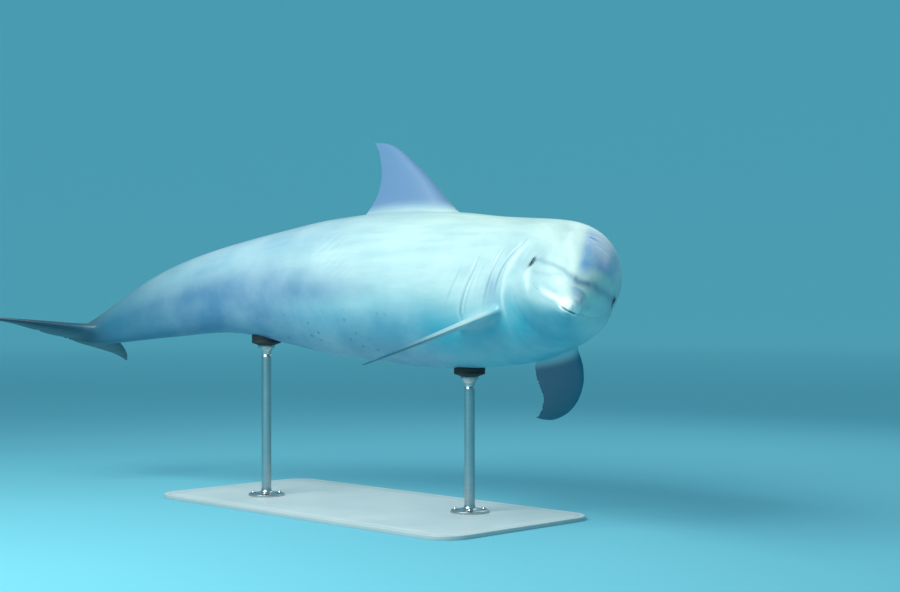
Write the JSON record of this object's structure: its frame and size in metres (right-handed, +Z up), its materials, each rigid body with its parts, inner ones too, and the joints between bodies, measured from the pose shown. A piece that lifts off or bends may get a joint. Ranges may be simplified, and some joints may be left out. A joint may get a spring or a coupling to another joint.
{
  "type": "bottlenose dolphin model",
  "caption": "Life-size bottlenose dolphin turning its head to look at the viewer, mouth closed, held level by a flat plate with round rods and cups under the belly.",
  "frame": {"origin": "centre of the whole model's bounding box, on the floor", "axes": "+X the way the animal swims (chord from tail notch to beak tip), +Y to its left, +Z up; the head turns to its right, towards -Y"},
  "size_m": [2.3095, 0.9512, 1.103],
  "materials": {
    "skin": "satin, smooth, blue-grey skin",
    "pale_skin": "satin, smooth, pale grey skin",
    "eye": "wet, polished",
    "base_paint": "satin pale paint",
    "rod_steel": "brushed",
    "pad_rubber": "matt"
  },
  "bodies": {
    "root": {"head": "skin", "upper_jaw": "skin", "lower_jaw": "pale_skin", "eye_left": "eye", "eye_right": "eye", "trunk": "skin", "tail_stock": "skin", "dorsal_fin": "skin", "flipper_left": "skin", "flipper_right": "skin", "fluke_left": "skin", "fluke_right": "skin", "stand_base": "base_paint", "stand_rod_front": "rod_steel", "stand_rod_rear": "rod_steel", "stand_cup_front": "pad_rubber", "stand_cup_rear": "pad_rubber"}
  },
  "joints": []
}
